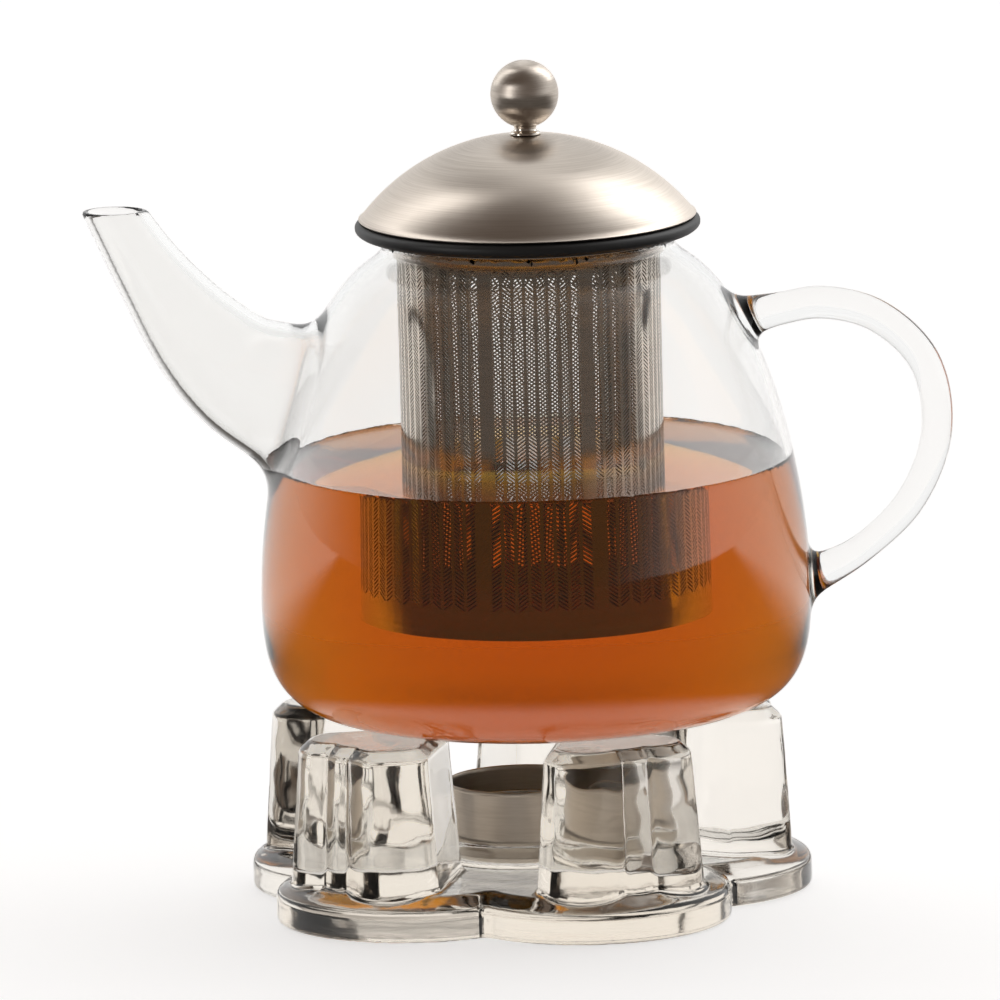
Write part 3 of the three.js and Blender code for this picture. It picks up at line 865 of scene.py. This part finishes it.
@dataclass
class Lid:
    """The steel dome with its ball knob, a silicone ring and a skirt that enters the basket."""

    axis_x: float = 5.0
    base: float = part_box("lid_ring")[0].z / MM
    foot: float = 4.0
    dome_radius: float = 44.9
    dome_height: float = 22.2
    sheet: float = 0.8
    ball_radius: float = 9.06
    seat_radius: float = 3.4
    bore: float = 2.3

    @staticmethod
    def arc(radius: float, centre: float, start: float, end: float, steps: int) -> Outline:
        """Return [radius, height] points of an arc about the axis, from one angle to another."""
        return [(radius * math.cos(a), centre + radius * math.sin(a))
                for a in np.linspace(start, end, steps)]

    def dome(self) -> Outline:
        """Return the dome's outline, with its edge turned in under it."""
        foot, edge = self.foot, self.dome_radius
        sphere = (self.dome_radius ** 2 + self.dome_height ** 2) / (2 * self.dome_height)
        centre = foot + self.dome_height - sphere
        inner = sphere - self.sheet
        start = math.asin((foot + 0.9 - centre) / sphere)
        end = math.asin((foot + 1.1 - centre) / inner)
        outer_arc = self.arc(sphere, centre, start, math.acos(self.bore / sphere), 40)
        inner_arc = self.arc(inner, centre, math.acos(self.bore / inner), end, 40)
        hem = [(edge - 1.2, foot + 0.35), (edge - 1.0, foot), (edge - 0.15, foot),
               (edge + 0.1, foot + 0.35)]
        return outer_arc + inner_arc + hem + [outer_arc[0]]

    def ball(self, seat: float) -> Outline:
        """Return the outline of the ball, whose flat underside is at that height, with its bore."""
        seat_angle = -math.acos(self.seat_radius / self.ball_radius)
        centre = seat - self.ball_radius * math.sin(seat_angle)
        arc = self.arc(self.ball_radius, centre, seat_angle, math.pi / 2, 48)
        return [(0, seat + 4), (self.bore, seat + 4), (self.bore, seat), *arc[:-1],
                (0, centre + self.ball_radius)]

    def build(self) -> None:
        """Make the lid's pieces."""
        brushed, polished = BRUSHED_LID.build(), POLISHED_SHEET.build()
        stem_base = self.foot + self.dome_height + 0.05
        stem = [(2.3, 0), (4.2, 0), (4.0, 0.6), (3.1, 1.0), (2.9, 1.6), (3.2, 2.3), (2.3, 2.3),
                (2.3, 0)]
        ring = [(33.4, 0), (44.6, 0), (46, 1.2), (46, 2.6), (45.2, 3.4), (44.4, 3.7), (33.4, 3.7),
                (33.4, 0)]
        skirt = [(32.5, -8), (33.1, -8), (33.1, 4), (39.1, 4), (39.1, 4.6), (32.5, 4.6),
                 (32.5, -8)]
        plan = [
            ("lid_dome_steel", self.dome(), brushed, "brushed_steel", "lid_dome", 192, 0.0),
            ("lid_silicone_ring", rounded(ring, 1.0), SILICONE.build(), "black_plastic",
             "lid_ring", 160, 0.0),
            ("lid_skirt_steel", rounded(skirt, 0.28), polished, "polished_steel",
             "lid_skirt", 128, 0.0),
            ("knob_stem_steel", rounded(stem, 0.3), polished, "polished_steel",
             "knob_stem", 64, stem_base),
            ("knob_ball", self.ball(stem_base + 2.35), brushed, "brushed_steel",
             "lid_knob", 96, 0.0),
        ]
        for name, outline, finish, slot, node, around, height in plan:
            part = TurnedPart(name, outline, finish, "lid", slot, node, around, height)
            part.make(np.array([self.axis_x, 0, self.base]))
        for node in ("knob_washer", "knob_screw"):
            refinish(node, polished)


# --- Warmer, candle cup and tealight ---


@dataclass
class Warmer:
    """The pressed-glass warmer: a flower-shaped plate, five petal pillars and the cup's ring."""

    lobes: int = 5
    first_angle: float = math.radians(-136)
    plate_radius: float = 77.5
    lobe_radius: float = 37.2
    edge_height: float = 9.0
    plate_height: float = 11.3
    pillar_ring: float = 54.6
    pillar_top: float = 50.0
    pillar_width: float = 46.6
    petal_radius: float = 13.0
    petal_offset: float = 3.4
    middle_radius: float = 12.3
    heel_radius: float = 8.0
    heel_offset: float = -20.4
    crease_fillet: float = 0.8
    taper: float = 0.87
    chamfer: float = 3.0
    seat_inner: float = 20.3
    seat_wall: float = 3.6
    seat_height: float = 5.6
    crown_width: float = 7.0
    sunk: float = 3.0
    ripple: float = 0.08
    cell: float = 1.0

    def angles(self) -> list[float]:
        """Return the lobes' directions."""
        return [self.first_angle + i * 2 * math.pi / self.lobes for i in range(self.lobes)]

    def flower(self, x: np.ndarray, y: np.ndarray) -> np.ndarray:
        """Return how far points are outside the plate's five-lobed outline."""
        centre, middle_radius, fillet = self.plate_radius - self.lobe_radius, 55, 2.5
        value = np.hypot(x, y) - middle_radius
        for angle in self.angles():
            lobe = np.hypot(x - centre * math.cos(angle), y - centre * math.sin(angle))
            value = smooth_min(value, lobe - self.lobe_radius, fillet)
        return value

    def petal(self, u: np.ndarray, v: np.ndarray) -> np.ndarray:
        """Return how far points are outside one pillar's petal outline. u points outwards."""
        side = self.pillar_width / 2 - self.petal_radius
        v = np.abs(v)
        along = np.array([self.heel_offset - self.petal_offset, -side])
        du, dv = u - self.petal_offset, v - side
        share = np.clip((du * along[0] + dv * along[1]) / (along @ along), 0, 1)
        radius = self.petal_radius + share * (self.heel_radius - self.petal_radius)
        lobe = np.hypot(du - share * along[0], dv - share * along[1]) - radius
        middle = np.hypot(du, v) - self.middle_radius
        return smooth_min(lobe, middle, self.crease_fillet)

    def glass(self, at: Points) -> np.ndarray:
        """Return the distance from the warmer's glass."""
        plate_edge, plate_foot, lift, pillar_edge, pillar_root = 3.0, 1.6, 0.05, 0.6, 1.6
        seat_edge, seat_root, calm_below, calm_fade, calm_top = 1.2, 1.0, 13, 6, 4
        x, y, z = at[:, 0], at[:, 1], at[:, 2]
        edge = self.flower(x, y)
        rise = np.clip(-edge / self.crown_width, 0, 1)
        crown = self.plate_height - self.edge_height
        top = self.edge_height + crown * rise * rise * (3 - 2 * rise)
        value = smooth_max(smooth_max(edge, z - top, plate_edge), lift - z, plate_foot)
        share = np.clip((z - self.plate_height) / (self.pillar_top - self.plate_height), 0, 1)
        scale = 1 + (self.taper - 1) * share
        foot = self.edge_height - self.sunk - z
        for angle in self.angles():
            cos, sin = math.cos(angle), math.sin(angle)
            u = x * cos + y * sin - self.pillar_ring
            v = -x * sin + y * cos
            side = self.petal(u / scale, v / scale) * scale
            bevel = (side + z - self.pillar_top + self.chamfer) * math.sqrt(0.5)
            pillar = smooth_max(side, bevel, pillar_edge)
            pillar = smooth_max(pillar, z - self.pillar_top, pillar_edge)
            value = smooth_min(value, np.maximum(pillar, foot), pillar_root)
        middle = self.seat_inner + self.seat_wall / 2
        seat = smooth_max(np.abs(np.hypot(x, y) - middle) - self.seat_wall / 2,
                          z - self.plate_height - self.seat_height, seat_edge)
        value = smooth_min(value, np.maximum(seat, foot), seat_root)
        waves = (np.sin(x * 0.41 + z * 0.13) * np.sin(y * 0.37 - z * 0.19)
                 * np.sin(z * 0.33 + x * 0.11))
        waves = self.ripple * waves * np.clip((z - calm_below) / calm_fade, 0, 1)
        return value + waves * np.clip((self.pillar_top - z) / calm_top, 0, 1)

    def build(self) -> None:
        """Make the warmer as one piece of glass."""
        low, high = (-78, -78, -2), (78, 78, self.pillar_top + 3)
        verts, faces, normals = skin(self.glass, low, high, self.cell, 0.5)
        piece = new_piece("glass_warmer", verts, faces, SODA_LIME.build(), normals)
        pillars = [f"warmer_pillar_{i + 1}" for i in range(self.lobes)]
        declare(piece, "warmer", "warmer_glass", "warmer_plate", "candle_seat", *pillars)


@dataclass
class Candle:
    """The steel cup in the warmer's ring and the tealight in it."""

    base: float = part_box("candle_cup")[0].z / MM
    cup_radius: float = 20.0
    foil_radius: float = 18.9

    def build(self) -> None:
        """Make the cup and the tealight's pieces."""
        rim, foil_rim = self.cup_radius, self.foil_radius
        cup = [(0, 0), (rim - 2, 0), (rim - 0.3, 1.7), (rim - 0.3, 18.4), (rim, 18.6), (rim, 19.5),
               (rim - 0.5, 19.5), (rim - 0.7, 18.6), (rim - 0.8, 2), (rim - 2.4, 0.5), (0, 0.5)]
        shell = [(0, 0), (foil_rim - 1.2, 0), (foil_rim - 0.4, 1), (foil_rim - 0.3, 11.2),
                 (foil_rim, 11.3), (foil_rim, 12), (foil_rim - 0.6, 12), (foil_rim - 0.65, 11.2),
                 (foil_rim - 0.75, 1.1), (foil_rim - 1.4, 0.35), (0, 0.35)]
        shell_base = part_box("tealight_shell")[0].z / MM - self.base
        shell = [(radius, height + shell_base) for radius, height in shell]
        low, high = (corner.z / MM - self.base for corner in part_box("tealight_wax"))
        wax = [(1.1, low), (17.6, low), (18.0, low + 0.5), (18.1, high), (16.5, high - 0.5),
               (6, high - 0.8), (2.4, high - 0.6), (1.1, high - 0.2), (1.1, low)]
        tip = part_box("wick")[1].z / MM - self.base
        wick = [(0, low), (0.75, low), (0.8, tip - 1), (0.55, tip - 0.2), (0, tip)]
        foil = FOIL.build()
        plan = [
            ("candle_cup_steel", rounded(cup, 0.5), CUP_SHEET.build(), "candle_cup",
             "polished_steel", "candle_cup"),
            ("tealight_foil_cup", rounded(shell, 0.4), foil, "tealight", "aluminium_foil",
             "tealight_shell"),
            ("tealight_wax_block", rounded(wax, 0.8), PARAFFIN.build(), "tealight", "wax",
             "tealight_wax"),
            ("tealight_cotton_wick", rounded(wick, 0.3), COTTON.build(), "tealight", "cotton",
             "wick"),
        ]
        for name, outline, finish, body, slot, node in plan:
            part = TurnedPart(name, outline, finish, body, slot, node, 96)
            part.make(np.array([0, 0, self.base]))
        refinish("wick_tab", foil)


# --- Stage ---


@dataclass
class Studio:
    """A pale floor, a surround with a dim front, three softboxes for the steel and the camera."""

    aim: tuple[float, float, float] = (-0.0041, 0.0, 0.1069)
    distance: float = 4.8
    elevation: float = math.radians(10.3)
    roll: float = math.radians(-1.4)
    lens: float = 648.0
    sensor: float = 36.0
    middle: tuple[float, float, float] = (0, 0, 0.12)
    softboxes: tuple[tuple, ...] = (("left_softbox", (-1.6, -1.15, 0.45), (0.5, 1.8), 12),
                                    ("left_strip", (-1.25, 0.85, 1.3), (0.3, 1.8), 6),
                                    ("right_softbox", (1.3, 1.0, 1.5), (0.9, 1.6), 12))
    floor_half: float = 6000.0
    floor_drop: float = 0.2
    lit: tuple[str, ...] = ("lid_dome_steel", "knob_ball", "knob_stem_steel", "basket_sleeve",
                            "basket_collar", "lid_silicone_ring", "candle_cup_steel")

    def acrylic(self) -> Material:
        """Return the floor's material: white acrylic lit from below, almost even to the eye.

        In long reflected rays it carries painted shade: from the pot's edge outwards, except
        behind the pot, it turns dark brown and almost stops glowing, a painted dark reflection in
        the glass. Its white mirror image would hide the colour of the tea.
        """
        material, tree, output, here = new_material("backlit_white_acrylic")
        haze = add_node(tree, "ShaderNodeTexNoise", {"Vector": here, "Scale": 6.0})
        white = add_node(tree, "ShaderNodeMix", {
            "Factor": haze.outputs["Fac"], 6: linear("#FAFAFA"), 7: linear("#FEFEFE"),
        }, data_type="RGBA")
        rays = add_node(tree, "ShaderNodeLightPath")
        parts = add_node(tree, "ShaderNodeSeparateXYZ", {0: here})
        reach = add_node(tree, "ShaderNodeVectorMath", {0: here}, operation="LENGTH")
        # Painted dark reflection: this mask is 1 where a long reflected ray sees the floor near the
        # pot, but not behind it.
        painted_dark_reflection = add_node(tree, "ShaderNodeMath", {
            0: rays.outputs["Glossy Depth"], 1: 1.0,
        }, operation="MINIMUM")
        masks = ((rays.outputs["Ray Length"], 0.05, 0.1), (reach.outputs["Value"], 0.085, 0.13),
                 (parts.outputs["Y"], 0.4, 0.12))
        for length, start, end in masks:
            mask = add_node(tree, "ShaderNodeMapRange", {
                "Value": length, "From Min": start, "From Max": end,
            }, interpolation_type="SMOOTHSTEP")
            painted_dark_reflection = add_node(tree, "ShaderNodeMath", {
                0: painted_dark_reflection.outputs[0], 1: mask.outputs[0],
            }, operation="MULTIPLY")
        # Painted shade: where the mask is 1 the floor's colour becomes dark brown #635B53 and its
        # glow drops from 0.6 to 0.04, so the glass reflects a painted dark floor.
        colours = add_node(tree, "ShaderNodeMix", {
            "Factor": painted_dark_reflection.outputs[0], 6: white.outputs[2], 7: linear("#635B53"),
        }, data_type="RGBA")
        glow = add_node(tree, "ShaderNodeMapRange", {
            "Value": painted_dark_reflection.outputs[0], "To Min": 0.6, "To Max": 0.04,
        })
        shader = add_node(tree, "ShaderNodeBsdfPrincipled", {
            "Base Color": colours.outputs[2], "Roughness": 0.9, "Emission Color": (1, 1, 1, 1),
            "Emission Strength": glow.outputs[0],
        })
        tree.links.new(shader.outputs["BSDF"], output.inputs["Surface"])
        return material

    def floor(self) -> None:
        """Make the floor."""
        half, drop = self.floor_half, -self.floor_drop
        corners = [(-half, -half, drop), (half, -half, drop), (half, half, drop),
                   (-half, half, drop)]
        new_piece("floor", np.array(corners), [(0, 1, 2, 3)], self.acrylic())

    def surround(self) -> None:
        """Make the surround: white behind and to the right, a dim warm room in front and above."""
        world = bpy.data.worlds.new("studio")
        world.use_nodes = True
        tree = world.node_tree
        tree.nodes.clear()
        place = add_node(tree, "ShaderNodeTexCoord")
        facing = add_node(tree, "ShaderNodeVectorMath", {
            0: place.outputs["Generated"], 1: (0.4, 1.0, -0.62),
        }, operation="DOT_PRODUCT")
        ramp = add_node(tree, "ShaderNodeMapRange", {
            "Value": facing.outputs["Value"], "From Min": -0.75, "From Max": 0.35,
        }, interpolation_type="SMOOTHSTEP")
        colours = add_node(tree, "ShaderNodeMix", {
            "Factor": ramp.outputs[0], 6: (0.125, 0.1, 0.085, 1), 7: (1, 1, 1, 1),
        }, data_type="RGBA")
        light = add_node(tree, "ShaderNodeBackground", {
            "Color": colours.outputs[2], "Strength": 1.0,
        })
        output = add_node(tree, "ShaderNodeOutputWorld")
        tree.links.new(light.outputs[0], output.inputs["Surface"])
        bpy.context.scene.world = world

    def lights(self) -> None:
        """Stand the softboxes round the pot, facing it. They light only the steel."""
        for name, place, (width, height), power in self.softboxes:
            lamp = bpy.data.lights.new(name, "AREA")
            lamp.shape, lamp.energy = "RECTANGLE", power
            lamp.size, lamp.size_y = width, height
            stand = bpy.data.objects.new(name, lamp)
            stand.location = place
            facing = Vector(self.middle) - Vector(place)
            stand.rotation_euler = facing.to_track_quat("-Z", "Y").to_euler()
            bpy.context.scene.collection.objects.link(stand)
            receivers = bpy.data.collections.new(f"{name}_receivers")
            for piece in self.lit:
                receivers.objects.link(bpy.data.objects[piece])
            stand.light_linking.receiver_collection = receivers

    def camera(self) -> None:
        """Set up the camera."""
        data = bpy.data.cameras.new("camera")
        data.lens, data.sensor_width = self.lens, self.sensor
        data.clip_end = 50
        camera = bpy.data.objects.new("camera", data)
        back = Vector((0, -math.cos(self.elevation), math.sin(self.elevation)))
        camera.location = Vector(self.aim) + back * self.distance
        look = (-back).to_track_quat("-Z", "Y").to_matrix().to_4x4()
        spin = look @ Matrix.Rotation(self.roll, 4, "Z")
        camera.rotation_euler = spin.to_euler()
        bpy.context.scene.collection.objects.link(camera)
        bpy.context.scene.camera = camera

    def build(self) -> None:
        """Make the stage."""
        self.floor()
        self.surround()
        self.lights()
        self.camera()


def main() -> None:
    """Build the whole scene in order."""
    logging.basicConfig(level=logging.INFO, format="%(message)s")
    for builder in (Warmer(), Candle(), GlassPot(), Infuser(), Lid(), Studio()):
        builder.build()
        log.info("%s done", type(builder).__name__)
    scene = bpy.context.scene
    scene.view_settings.view_transform = "Standard"
    scene.cycles.max_bounces = scene.cycles.transmission_bounces = GLASS_BOUNCES


if __name__ == "__main__":
    main()
